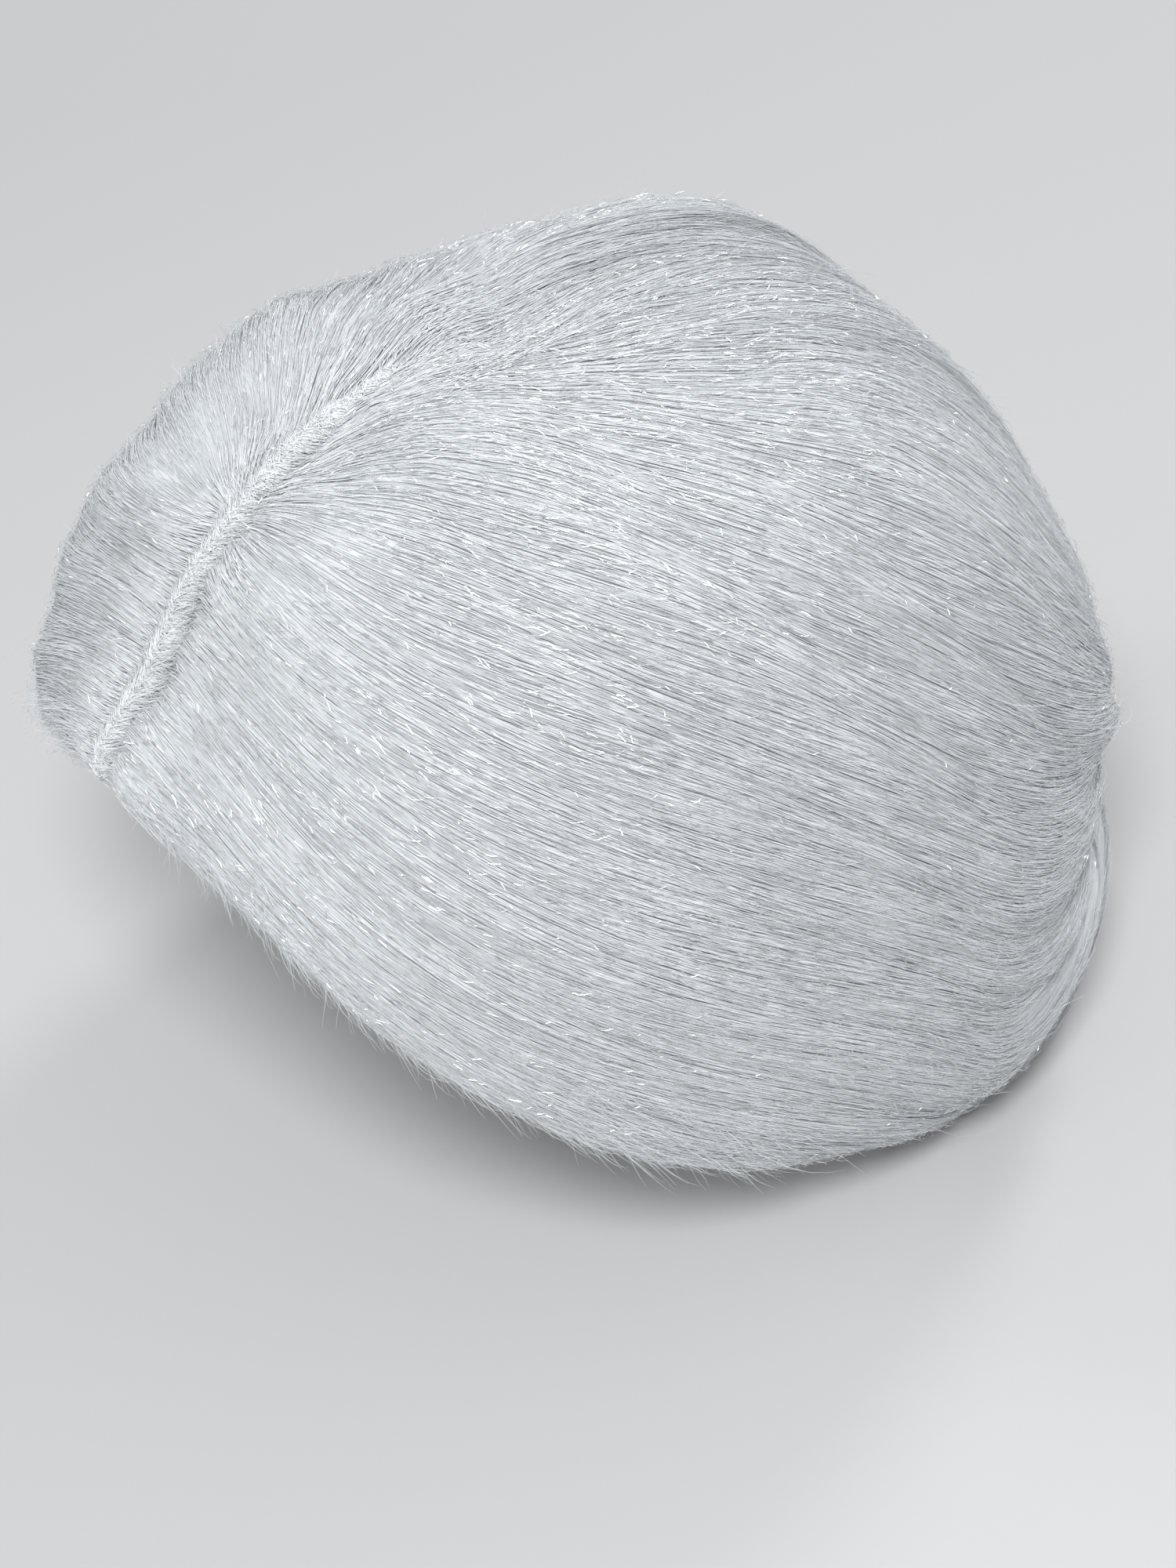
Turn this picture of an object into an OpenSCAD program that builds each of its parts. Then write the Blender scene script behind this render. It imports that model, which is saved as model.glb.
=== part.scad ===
// White long-pile costume wig, worn shape, built as a lined fur-fabric cap.
// The wearer faces -Y, the wearer's left is +X, and up is +Z.
// The origin is the centre of the head-size plane, level with the brow.

/* [Hair] */
// Half width of the brushed pile over the ears
hair_half_w = 110; // [106:1:116]
// Reach of the pile ahead of the shape's centre
hair_front = 110; // [107:1:115]
// Reach of the pile behind the shape's centre
hair_back = 118; // [114:1:124]
// Height of the pile above the shape's centre
hair_top = 119; // [115:1:126]
// Depth of the pile below the shape's centre, before the hem cuts it
hair_low = 128; // [124:1:134]
// Depth of the crease where the back pile meets the nape pile
crease_depth = 7; // [2:1:9]
// Part of the pile's thickness that is left at the hem
hem_thin = 0.40; // [0.3:0.05:0.6]
// Width of the standing pile along the centre seam
seam_pile_w = 3.6; // [2.8:0.2:4.4]

/* [Head inside] */
// Half width of the head at its widest
head_half_w = 77; // [72:1:79]
// Reach of the head ahead of the shape's centre
head_front = 97; // [93:1:99]
// Reach of the head behind the shape's centre
head_back = 92; // [88:1:94]
// Height of the head above the shape's centre
head_top = 100; // [95:1:103]
// Depth of the head below the shape's centre
head_low = 110; // [106:1:112]

/* [Cap] */
// Thickness of the woven lining
lining_t = 1.0; // [0.8:0.1:1.2]
// Thickness of the knitted ground that the pile is fixed in
ground_t = 1.2; // [0.8:0.1:1.4]
// Width of the binding inside the face edge
binding_w = 12; // [8:1:14]
// Width of the tape over the centre seam
tape_w = 14; // [10:1:18]
// Width of the elastic in the nape casing
elastic_w = 9; // [7:0.5:10]

/* [Adjusters] */
// Number of loops in each loop band
loop_count = 4; // [3:1:4]
// Width of each adjuster strap
strap_w = 9; // [7:0.5:9.5]
// Radius of the pin that the hook turns on
pin_r = 0.6; // [0.5:0.05:0.7]

/* [Hidden] */
$fn = 48;

// Centre of the hair and head shapes, and how square each shape is
centre = [0, 4, -17];
hair_square = 2.3;
head_square = 2.15;
// How much wider each shape is at its back than at its middle
hair_taper = 0.11;
head_taper = 0.10;

// Distances out from the head to each layer
binding_in = 0.1;
binding_out = 0.6;
lining_in = 1.2;
lining_out = lining_in + lining_t;
ground_in = lining_out + 0.4;
ground_out = ground_in + ground_t;
pile_in = ground_out + 0.4;

// The hem's angle down from the crown, as a mean and four cosine terms
hem_mean = 109;
hem_terms = [-29.3, -13.5, -1.7, -2.5];
// Angle over which the pile thins to the hem
hem_roll = 15;
// The crease between the back and nape panels, and the azimuths where it starts and levels
crease_angle = 97;
crease_from = 105;
crease_level = 144;
crease_width = 6;
panel_gap = 0.35;
seam_gap = seam_pile_w / 2 + 0.3;

// Columns go round from the face at 0 to the nape at 180; rows go from crown to hem
column_step = 9;
side_columns = [0 : column_step : 180];
nape_columns = [108 : column_step : 252];
main_rows = [0.10, 0.21, 0.32, 0.43, 0.54, 0.64, 0.73, 0.81, 0.87, 0.92, 0.965, 1];
nape_rows = [0, 0.2, 0.4, 0.58, 0.74, 0.88, 1];

// The casing runs along the nape hem, this far above it
casing_columns = [110 : 10 : 250];
casing_wall = 0.45;
casing_room = 1.5;
casing_lift = 1.6;
// Azimuths where the face binding starts and ends, and its distance from the hem
binding_from = 1.5;
binding_to = 102;
hem_margin = 0.6;

// Adjusters turn about an upright axis through the middle of the nape's curve
nape_axis_y = centre.y + head_back - 82;
band_r = head_back - 12.4;
band_z = -47;
wall_slope = 0.196;
wall_tilt = atan(wall_slope);
loop_first = 12;
loop_pitch = 5;
loop_w = 4.8;
band_start = 8;
pin_angle = 41;
bar_angle = 45.2;
// Where the strap ends beside the slider, steps out to the lining and is sewn down
strap_from = 51.4;
step_from = 56.0;
step_to = 56.6;
strap_to = 61.5;
pin_in = band_r - 3.1;
pin_play = 0.06;

// ---- shape functions ----
function tanh(x) = (exp(2 * x) - 1) / (exp(2 * x) + 1);
function blend(x) = 0.5 + 0.5 * tanh(2.2 * x);
function smooth(x) = let (c = min(1, max(0, x))) c * c * (3 - 2 * c);
function aim(a, th) = [sin(th) * sin(a), -sin(th) * cos(a), cos(th)];

// Radius of a rounded shape in direction d, with its own reach on each side
function round_r(d, w, front, back, top, low, square, taper) =
    let (
        half_w = w * (1 + taper * d.y),
        half_l = front + (back - front) * blend(d.y),
        half_h = low + (top - low) * blend(d.z)
    )
    pow(pow(abs(d.x) / half_w, square) + pow(abs(d.y) / half_l, square)
        + pow(abs(d.z) / half_h, square), -1 / square);
function head_r(d) =
    round_r(d, head_half_w, head_front, head_back, head_top, head_low, head_square, head_taper);
function hair_r(d) =
    round_r(d, hair_half_w, hair_front, hair_back, hair_top, hair_low, hair_square, hair_taper);

function hem(a) = hem_mean + hem_terms[0] * cos(a) + hem_terms[1] * cos(2 * a)
    + hem_terms[2] * cos(3 * a) + hem_terms[3] * cos(4 * a);
function from_face(a) = a > 180 ? 360 - a : a;
function crease_share(a) = smooth((from_face(a) - crease_from) / (crease_level - crease_from));
// Where the main panels end: at the hem in front, and at the crease behind
function main_end(a) = hem(a) - (hem(a) - crease_angle) * crease_share(a);

// Outside of the pile: thin at the hem, dipped at the crease
function pile_r(a, th) =
    let (
        d = aim(a, th),
        base = head_r(d) + pile_in,
        left = min(1, max(0, (hem(a) - th) / hem_roll)),
        roll = hem_thin + (1 - hem_thin) * sqrt(1 - pow(1 - left, 2)),
        dip = crease_depth * crease_share(a) * exp(-pow((th - crease_angle) / crease_width, 2))
    )
    base + (hair_r(d) - base) * roll - dip * roll;

// A point on a layer: "pile" follows the hair, a number is a distance out from the head
function layer_at(a, th, layer) =
    centre + aim(a, th) * (layer == "pile" ? pile_r(a, th) : head_r(aim(a, th)) + layer);
// Moves a point out from the middle plane to leave room for the centre seam
function seam_shift(p) = [seam_gap + p.x * (1 - seam_gap / hair_half_w), p.y, p.z];

// ---- mesh helpers ----
function quad(a, b, c, d) = [[a, b, c], [a, c, d]];
function sheet_faces(rows, cols, base, flip) = [
    for (j = [0 : rows - 2], i = [0 : cols - 2])
        let (a = base + j * cols + i, b = a + 1, c = b + cols, d = a + cols)
        each (flip ? quad(a, d, c, b) : quad(a, b, c, d))
];

// Closed solid between two grids of points, each a list of rows
module slab(outer, inner) {
    rows = len(outer);
    cols = len(outer[0]);
    n = rows * cols;
    points = concat([for (r = outer) each r], [for (r = inner) each r]);
    ends = [for (i = [0 : cols - 2]) each concat(
        quad(i, n + i, n + i + 1, i + 1),
        let (k = (rows - 1) * cols + i) quad(k, k + 1, n + k + 1, n + k))];
    sides = [for (j = [0 : rows - 2]) each concat(
        let (k = j * cols) quad(k, k + cols, n + k + cols, n + k),
        let (k = j * cols + cols - 1) quad(k, n + k, n + k + cols, k + cols))];
    polyhedron(points, concat(sheet_faces(rows, cols, 0, false),
        sheet_faces(rows, cols, n, true), ends, sides));
}

// The same, with the first row drawn together at one crown point on each face
module crowned_slab(outer, inner, crown_out, crown_in) {
    rows = len(outer);
    cols = len(outer[0]);
    n = rows * cols;
    top = 2 * n;
    under = top + 1;
    points = concat([for (r = outer) each r], [for (r = inner) each r], [crown_out, crown_in]);
    crown = [for (i = [0 : cols - 2]) each [[top, i + 1, i], [under, n + i, n + i + 1]]];
    rim = [for (i = [0 : cols - 2])
        let (k = (rows - 1) * cols + i) each quad(k, k + 1, n + k + 1, n + k)];
    sides = [for (j = [0 : rows - 2]) each concat(
        let (k = j * cols) quad(k, k + cols, n + k + cols, n + k),
        let (k = j * cols + cols - 1) quad(k, n + k, n + k + cols, k + cols))];
    crown_sides = concat(quad(top, 0, n, under), quad(top, under, n + cols - 1, cols - 1));
    polyhedron(points, concat(sheet_faces(rows, cols, 0, false),
        sheet_faces(rows, cols, n, true), crown, rim, sides, crown_sides));
}

// Closed bar swept through a list of loops of equal length
module swept_bar(loops) {
    m = len(loops[0]);
    n = len(loops);
    walls = [for (s = [0 : n - 2], i = [0 : m - 1])
        let (k = (i + 1) % m) each quad(s * m + i, s * m + k, (s + 1) * m + k, (s + 1) * m + i)];
    caps = [[for (i = [m - 1 : -1 : 0]) i], [for (i = [0 : m - 1]) (n - 1) * m + i]];
    polyhedron([for (l = loops) each l], concat(walls, caps));
}

// Closed hollow sleeve swept through pairs of outer and inner loops
module swept_sleeve(outer, inner) {
    m = len(outer[0]);
    n = len(outer);
    t = n * m;
    last = (n - 1) * m;
    walls = [for (s = [0 : n - 2], i = [0 : m - 1])
        let (k = (i + 1) % m, a = s * m + i, b = s * m + k, c = b + m, d = a + m)
        each concat(quad(a, b, c, d), quad(t + a, t + d, t + c, t + b))];
    rings = [for (i = [0 : m - 1]) let (k = (i + 1) % m)
        each concat(quad(i, t + i, t + k, k), quad(last + i, last + k, t + last + k, t + last + i))];
    polyhedron(concat([for (l = outer) each l], [for (l = inner) each l]), concat(walls, rings));
}

// ---- cap layers ----
module main_panel(outside, inside) {
    grid = function (layer) [for (f = main_rows) [for (a = side_columns)
        seam_shift(layer_at(a, main_end(a) * f, layer))]];
    crowned_slab(grid(outside), grid(inside),
        seam_shift(layer_at(0, 0, outside)), seam_shift(layer_at(0, 0, inside)));
}

module nape_panel(outside, inside) {
    grid = function (layer) [for (f = nape_rows) [for (a = nape_columns)
        let (top = main_end(a) + panel_gap)
        layer_at(a, top + (hem(a) - top) * f, layer)]];
    slab(grid(outside), grid(inside));
}

// A four-cornered band section at azimuth a, between two angles and two distances out
function band_loop(a, th_top, th_low, out, in) = [
    layer_at(a, th_top, out), layer_at(a, th_low, out),
    layer_at(a, th_low, in), layer_at(a, th_top, in)];
// Angle that a width along the cap covers
function width_angle(w) = w / 1.7;

// Section of the centre seam at angle f from the crown, negative towards the face
function seam_loop(f, half, out, in, crowned) =
    let (a = f < 0 ? 0 : 180, th = abs(f), d = aim(a, th),
        r_in = head_r(d) + in,
        r_out = out == "pile" ? pile_r(a, th) - 0.8 : head_r(d) + out,
        lip = crowned ? 1.0 : 0,
        at = function (x, r) centre + d * r + [x, 0, 0])
    crowned
        ? [at(-half, r_out), at(-half * 0.55, r_out + lip), at(half * 0.55, r_out + lip),
            at(half, r_out), at(half, r_in), at(-half, r_in)]
        : [at(-half, r_out), at(half, r_out), at(half, r_in), at(-half, r_in)];
// Angles along the centre seam from the face to the crease
function seam_run(front, behind, n) = [for (i = [0 : n]) -front + (front + behind) * i / n];

module centre_seam_pile() {
    color([0.96, 0.97, 0.98])
        swept_bar([for (f = seam_run(hem(0) - hem_margin, crease_angle - 1.0, 30))
            seam_loop(f, seam_pile_w / 2, "pile", pile_in, true)]);
}

module left_fur_panel() {
    color([0.90, 0.93, 0.95]) main_panel("pile", pile_in);
}
module right_fur_panel() {
    color([0.86, 0.90, 0.93]) mirror([1, 0, 0]) main_panel("pile", pile_in);
}
module nape_fur_panel() {
    color([0.80, 0.85, 0.88]) nape_panel("pile", pile_in);
}
module left_ground_fabric() {
    color([0.88, 0.88, 0.84]) main_panel(ground_out, ground_in);
}
module right_ground_fabric() {
    color([0.84, 0.84, 0.80]) mirror([1, 0, 0]) main_panel(ground_out, ground_in);
}
module nape_ground_fabric() {
    color([0.80, 0.80, 0.76]) nape_panel(ground_out, ground_in);
}
module left_lining() {
    color([0.93, 0.90, 0.84]) main_panel(lining_out, lining_in);
}
module right_lining() {
    color([0.89, 0.86, 0.80]) mirror([1, 0, 0]) main_panel(lining_out, lining_in);
}
module nape_lining() {
    color([0.85, 0.82, 0.76]) nape_panel(lining_out, lining_in);
}

module face_binding() {
    steps = 14;
    swept_bar([for (i = [0 : steps]) let (a = binding_from + (binding_to - binding_from) * i / steps)
        band_loop(a, hem(a) - width_angle(binding_w), hem(a) - hem_margin, binding_out, binding_in)]);
}
module left_face_binding() {
    color([0.97, 0.96, 0.92]) face_binding();
}
module right_face_binding() {
    color([0.97, 0.96, 0.92]) mirror([1, 0, 0]) face_binding();
}
module centre_seam_tape() {
    tape_out = 0.4;
    tape_in = -0.3;
    color([0.95, 0.94, 0.90])
        swept_bar([for (f = seam_run(hem(0) - width_angle(binding_w) - hem_margin, crease_angle + 8, 26))
            seam_loop(f, tape_w / 2, tape_out, tape_in, false)]);
}

// Section of the casing that is sewn over the elastic along the nape hem
function casing_loop(a, grow) =
    let (low = hem(a) - casing_lift, top = low - width_angle(elastic_w + 0.8))
    band_loop(a, top - grow * 0.6, low + grow * 0.6, 0.2 + grow - casing_wall,
        0.2 - casing_wall - casing_room - grow);
module nape_casing() {
    color([0.94, 0.93, 0.90])
        swept_sleeve([for (a = casing_columns) casing_loop(a, casing_wall)],
            [for (a = casing_columns) casing_loop(a, 0)]);
}
module nape_elastic() {
    slack = 0.25;
    color([0.98, 0.98, 0.98])
        swept_bar([for (a = casing_columns)
            let (low = hem(a) - casing_lift - 0.4, top = hem(a) - casing_lift - width_angle(elastic_w))
            band_loop(a, top, low, 0.2 - casing_wall - slack,
                0.2 - casing_wall - casing_room + slack)]);
}

// ---- adjusters ----
// Band that follows the sloping nape wall: angles from the middle of the back,
// radii at the band's mid height, height from the middle up and down
module nape_band(from, to, r_in, r_out, half_h) {
    lean = wall_slope * half_h;
    translate([0, nape_axis_y, band_z])
        rotate([0, 0, 90 - to])
        rotate_extrude(angle = to - from, $fn = 96)
        polygon([[r_in - lean, -half_h], [r_out - lean, -half_h],
            [r_out + lean, half_h], [r_in + lean, half_h]]);
}
// Places children at an angle from the middle of the back, upright along the wall's slope
module at_nape(angle, r) {
    translate([0, nape_axis_y, band_z])
        rotate([0, 0, -angle])
        translate([0, r, 0])
        rotate([-wall_tilt, 0, 0])
        children();
}

// One raised loop, standing in from the band's face at y = 0
module loop(width, rise, height) {
    wall = 0.35;
    root = 0.3;
    past_face = 0.12;
    difference() {
        translate([-width / 2, -rise, -height / 2]) cube([width, rise + root, height]);
        translate([-width / 2 + wall, -rise + wall, -height])
            cube([width - 2 * wall, rise - wall + past_face, 2 * height]);
    }
}
module loop_band() {
    band_t = 0.6;
    loop_rise = 1.0;
    half_h = strap_w / 2 + 0.6;
    last = loop_first + (loop_count - 1) * loop_pitch;
    nape_band(band_start, last + 4, band_r - band_t, band_r, half_h);
    for (i = [0 : loop_count - 1])
        at_nape(loop_first + i * loop_pitch, band_r - band_t)
            loop(loop_w, loop_rise, 2 * half_h - 1);
}
module strap() {
    half_t = 0.4;
    step_out = 1.6;
    near_in = pin_in - half_t;
    near_out = pin_in + half_t;
    lap = 0.2;
    nape_band(strap_from, step_to - lap, near_in, near_out, strap_w / 2);
    nape_band(step_from, step_to, near_in, near_out + step_out, strap_w / 2);
    nape_band(step_to - lap, strap_to, near_in + step_out, near_out + step_out, strap_w / 2);
}
module strap_end() {
    fold_r = 1.2;
    bar_play = 0.08;
    tail_t = 0.9;
    tail_l = 6.6;
    tail_turn = -2.5;
    at_nape(bar_angle, pin_in)
        difference() {
            union() {
                cylinder(r = fold_r, h = strap_w - 0.4, center = true);
                rotate([0, 0, tail_turn])
                    translate([0.3, -0.05, -strap_w / 2 + 0.4])
                    cube([tail_l - 0.3, tail_t, strap_w - 0.8]);
            }
            cylinder(r = pin_r + bar_play, h = strap_w + 4, center = true);
        }
}
module slider() {
    arm_t = 1.1;
    arm_z = strap_w / 2 + 0.2;
    arm_half = 0.9;
    bar_h = 2 * arm_z + 0.4;
    bar_x = pin_in * sin(bar_angle - pin_angle);
    bar_y = pin_in * (cos(bar_angle - pin_angle) - 1);
    bar_turn = atan2(bar_y, bar_x);
    reach = norm([bar_x, bar_y]);
    at_nape(pin_angle, pin_in) cylinder(r = pin_r, h = bar_h, center = true);
    at_nape(bar_angle, pin_in) cylinder(r = pin_r, h = bar_h, center = true);
    for (s = [-1, 1])
        at_nape(pin_angle, pin_in)
            rotate([0, 0, bar_turn])
            translate([0, 0, s * (arm_z + arm_t / 2)])
            linear_extrude(arm_t, center = true)
            union() {
                translate([-0.2, -arm_half]) square([reach + 0.4, 2 * arm_half]);
                circle(r = arm_half + 0.15);
                translate([reach, 0]) circle(r = arm_half + 0.15);
            }
}
// Flat hook, in its pin's own frame: the plate runs along -X from the sleeve
module hook_plate(length, half_h, slot_half) {
    slot_from = 3;
    slot_to = length - 4;
    rotate([90, 0, 0])
        linear_extrude(0.7, center = true)
        difference() {
            union() {
                translate([-length + half_h, -half_h]) square([length - half_h - 0.3, 2 * half_h]);
                translate([-length + half_h, 0]) circle(r = half_h);
            }
            translate([-slot_to, -slot_half]) square([slot_to - slot_from, 2 * slot_half]);
            for (x = [slot_from, slot_to]) translate([-x, 0]) circle(r = slot_half);
        }
}
module hook() {
    sleeve_r = 1.15;
    plate_out = 0.45;
    plate_turn = 4.6;
    at_nape(pin_angle, pin_in)
        difference() {
            union() {
                cylinder(r = sleeve_r, h = 6.2, center = true);
                rotate([0, 0, plate_turn]) translate([0, plate_out, 0]) hook_plate(13, 3.3, 1.3);
            }
            cylinder(r = pin_r + pin_play, h = 12, center = true);
        }
}

module left_loop_band() {
    color([0.96, 0.95, 0.92]) loop_band();
}
module right_loop_band() {
    color([0.96, 0.95, 0.92]) mirror([1, 0, 0]) loop_band();
}
module left_strap() {
    color([0.98, 0.98, 0.98]) strap();
}
module right_strap() {
    color([0.98, 0.98, 0.98]) mirror([1, 0, 0]) strap();
}
module left_strap_end() {
    color([0.98, 0.98, 0.98]) strap_end();
}
module right_strap_end() {
    color([0.98, 0.98, 0.98]) mirror([1, 0, 0]) strap_end();
}
module left_slider() {
    color([0.75, 0.76, 0.78]) slider();
}
module right_slider() {
    color([0.75, 0.76, 0.78]) mirror([1, 0, 0]) slider();
}
module left_hook() {
    color([0.75, 0.76, 0.78]) hook();
}
module right_hook() {
    color([0.75, 0.76, 0.78]) mirror([1, 0, 0]) hook();
}

left_fur_panel();
right_fur_panel();
nape_fur_panel();
centre_seam_pile();
left_ground_fabric();
right_ground_fabric();
nape_ground_fabric();
left_lining();
right_lining();
nape_lining();
left_face_binding();
right_face_binding();
centre_seam_tape();
nape_casing();
nape_elastic();
left_loop_band();
right_loop_band();
left_strap();
right_strap();
left_strap_end();
right_strap_end();
left_slider();
right_slider();
left_hook();
right_hook();
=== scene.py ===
"""A white pile-fabric costume wig: long brushed pile over a sewn cap with two hook adjusters."""
import math

import bpy
import numpy as np
from mathutils import Matrix, Vector


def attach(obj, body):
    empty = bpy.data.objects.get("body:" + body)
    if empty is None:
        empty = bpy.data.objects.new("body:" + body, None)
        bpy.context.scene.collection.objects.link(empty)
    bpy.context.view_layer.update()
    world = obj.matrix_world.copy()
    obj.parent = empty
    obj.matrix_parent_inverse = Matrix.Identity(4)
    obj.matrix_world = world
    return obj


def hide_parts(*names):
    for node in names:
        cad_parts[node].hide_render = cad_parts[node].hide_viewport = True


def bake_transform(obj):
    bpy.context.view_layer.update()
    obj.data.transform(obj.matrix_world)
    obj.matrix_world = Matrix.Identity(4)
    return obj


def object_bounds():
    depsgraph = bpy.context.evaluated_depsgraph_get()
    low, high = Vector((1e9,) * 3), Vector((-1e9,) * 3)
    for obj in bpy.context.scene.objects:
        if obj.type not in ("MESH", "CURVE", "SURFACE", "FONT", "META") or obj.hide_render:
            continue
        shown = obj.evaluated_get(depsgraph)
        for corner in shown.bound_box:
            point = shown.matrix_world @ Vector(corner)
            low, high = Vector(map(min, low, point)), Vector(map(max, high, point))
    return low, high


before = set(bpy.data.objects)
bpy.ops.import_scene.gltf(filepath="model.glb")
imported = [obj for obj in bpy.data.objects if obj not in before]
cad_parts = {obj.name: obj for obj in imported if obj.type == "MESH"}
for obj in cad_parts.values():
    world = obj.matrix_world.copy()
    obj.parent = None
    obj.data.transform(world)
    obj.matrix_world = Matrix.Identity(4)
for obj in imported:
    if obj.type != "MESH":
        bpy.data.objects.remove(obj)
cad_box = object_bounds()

MM = 0.001
SEED = 20
REST_Z = cad_box[0][2] / MM

# ---- the cap's shape, as the frame holds it: millimetres and degrees ----
CENTRE = np.array([0.0, 4.0, -17.0])
HAIR = {"w": 110, "f": 110, "b": 118, "t": 119, "l": 128, "e": 2.3, "taper": 0.11}
HEAD = {"w": 77, "f": 97, "b": 92, "t": 100, "l": 110, "e": 2.15, "taper": 0.10}
PILE_IN = 4.2
GROUND = (3.8, 2.6)
LINING = (2.2, 1.2)
HEM_MEAN = 109
HEM_TERMS = (-29.3, -13.5, -1.7, -2.5)
HEM_ROLL = 15
HEM_THIN = 0.40
CREASE = 97
CREASE_FROM, CREASE_LEVEL = 105, 144
CREASE_DEPTH, CREASE_WIDTH = 7, 6
PANEL_GAP = 0.35
SIDES = (("left", 1), ("right", -1))
SEAM_HALF = 1.8
SEAM_GAP = SEAM_HALF + 0.3


def smooth(x):
    """An even step from 0 to 1 as x goes from 0 to 1."""
    c = np.clip(x, 0, 1)
    return c * c * (3 - 2 * c)


def bump(x, middle, width):
    return np.exp(-((x - middle) / width) ** 2)


def aim(a, th):
    """Unit direction: a is 0 at the face, 90 at the left ear. th is the angle down from the crown."""
    a, th = np.broadcast_arrays(np.radians(a), np.radians(th))
    return np.stack([np.sin(th) * np.sin(a), -np.sin(th) * np.cos(a), np.cos(th)], -1)


def round_r(d, s):
    """Distance from CENTRE to the rounded form s, along the directions d."""
    share = 0.5 + 0.5 * np.tanh(2.2 * d)
    half_w = s["w"] * (1 + s["taper"] * d[..., 1])
    half_l = s["f"] + (s["b"] - s["f"]) * share[..., 1]
    half_h = s["l"] + (s["t"] - s["l"]) * share[..., 2]
    total = (np.abs(d[..., 0] / half_w) ** s["e"] + np.abs(d[..., 1] / half_l) ** s["e"]
             + np.abs(d[..., 2] / half_h) ** s["e"])
    return total ** (-1 / s["e"])


def hem(a):
    """Angle down to the cloth's edge, all round."""
    turns = [term * np.cos(np.radians(n * a)) for n, term in enumerate(HEM_TERMS, 1)]
    return HEM_MEAN + sum(turns)


def crease_share(a):
    side = np.abs((a + 180) % 360 - 180)
    return smooth((side - CREASE_FROM) / (CREASE_LEVEL - CREASE_FROM))


def main_end(a):
    """Angle down to a main panel's edge: the hem in front, the crease behind."""
    return hem(a) - (hem(a) - CREASE) * crease_share(a)


def head_r(a, th):
    return round_r(aim(a, th), HEAD)


def pile_r(a, th):
    """Distance to the pile's outside, rolled in towards the hem and dipped along the crease."""
    d = aim(a, th)
    base = round_r(d, HEAD) + PILE_IN
    left = np.clip((hem(a) - th) / HEM_ROLL, 0, 1)
    roll = HEM_THIN + (1 - HEM_THIN) * np.sqrt(1 - (1 - left) ** 2)
    dip = CREASE_DEPTH * crease_share(a) * bump(th, CREASE, CREASE_WIDTH)
    return base + (round_r(d, HAIR) - base) * roll - dip * roll


def seam_shift(p):
    """Moves points out from the middle plane, to leave room for the centre seam."""
    q = p.copy()
    q[..., 0] = SEAM_GAP + p[..., 0] * (1 - SEAM_GAP / HAIR["w"])
    return q


# ---- the brushed flow, on a unit ball where the hem and the crease are one level circle ----
NAPE_SPAN = 30
WARP_POWER = 0.7
NOTCH_A = 162.0
NOTCH_LEVEL = CREASE + 6
NOTCH = aim(NOTCH_A, NOTCH_LEVEL)


def ball_angles(q):
    a = np.degrees(np.arctan2(q[..., 0], -q[..., 1]))
    return a, np.degrees(np.arccos(np.clip(q[..., 2], -1, 1)))


def cap_angle(a, level):
    """Angle down the real cap at a level on the ball: the crease circle maps to main_end."""
    share = (np.clip(level, 0, CREASE) / CREASE) ** WARP_POWER
    above = level * (1 + (main_end(a) / CREASE - 1) * share)
    below = main_end(a) + (level - CREASE) * (hem(a) - main_end(a)) / NAPE_SPAN
    return np.where(level <= CREASE, above, below)


def ball_level(a, th):
    """The inverse of cap_angle above the crease, by halving."""
    low, high = np.zeros_like(th), np.full_like(th, CREASE)
    for _ in range(24):
        mid = (low + high) / 2
        over = cap_angle(a, mid) > th
        low, high = np.where(over, low, mid), np.where(over, mid, high)
    return (low + high) / 2


def unit(v):
    return v / np.maximum(np.linalg.norm(v, axis=-1, keepdims=True), 1e-9)


def flow_level(q):
    """Which plane through the notch line a point lies in: degrees up from the notch's own level."""
    return np.degrees(np.arctan2(q[..., 2] - NOTCH[2], NOTCH[1] - q[..., 1]))


def down_share(q):
    """How far the pile lies straight back: wholly over the middle of the back, partly at the crown."""
    x, y, z = np.abs(q[..., 0]), q[..., 1], q[..., 2]
    behind = smooth((0.64 - x) / 0.4) * smooth((y + 0.1) / 0.45)
    crown = 0.75 * smooth((0.42 - x) / 0.4) * smooth((z - 0.45) / 0.4)
    return 1 - (1 - behind) * (1 - crown)


def main_flow(q):
    """Unit direction of the pile on the left panel: square off the seam, then round to the notch."""
    across = np.array([1.0, 0, 0])
    planes = np.cross(q, np.cross(across, q - NOTCH))
    a, _ = ball_angles(q)
    target = aim(np.clip(a, NOTCH_A, 180), NOTCH_LEVEL)
    straight = target - q * np.sum(target * q, -1, keepdims=True)
    share = 0.45 * smooth(flow_level(q) / 36)[..., None]
    side = unit(unit(planes) * (1 - share) + unit(straight) * share)
    low = aim(180.0, 140.0)
    down = unit(low - q * np.sum(low * q, -1, keepdims=True))
    share = down_share(q)[..., None]
    return unit(side * (1 - share) + down * share)


def nape_flow(q):
    """The same on the nape: back along the hem and a little down, then straight down at the middle."""
    a, level = ball_angles(q)
    side = np.abs(a)
    east = unit(np.cross(np.array([0, 0, 1.0]), q)) * np.sign(q[..., :1] + 1e-9)
    south = unit(np.cross(q, np.cross(q, np.array([0, 0, 1.0]))))
    depth = np.clip((level - CREASE) / NAPE_SPAN, 0, 1)
    up = (10 * (1 - depth) - 16) * smooth((side - 112) / 30) * (1 - smooth((side - 152) / 16))
    turn = np.radians(75 * smooth((side - 154) / 24) - up)
    return unit(east * np.cos(turn)[..., None] + south * np.sin(turn)[..., None])


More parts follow.
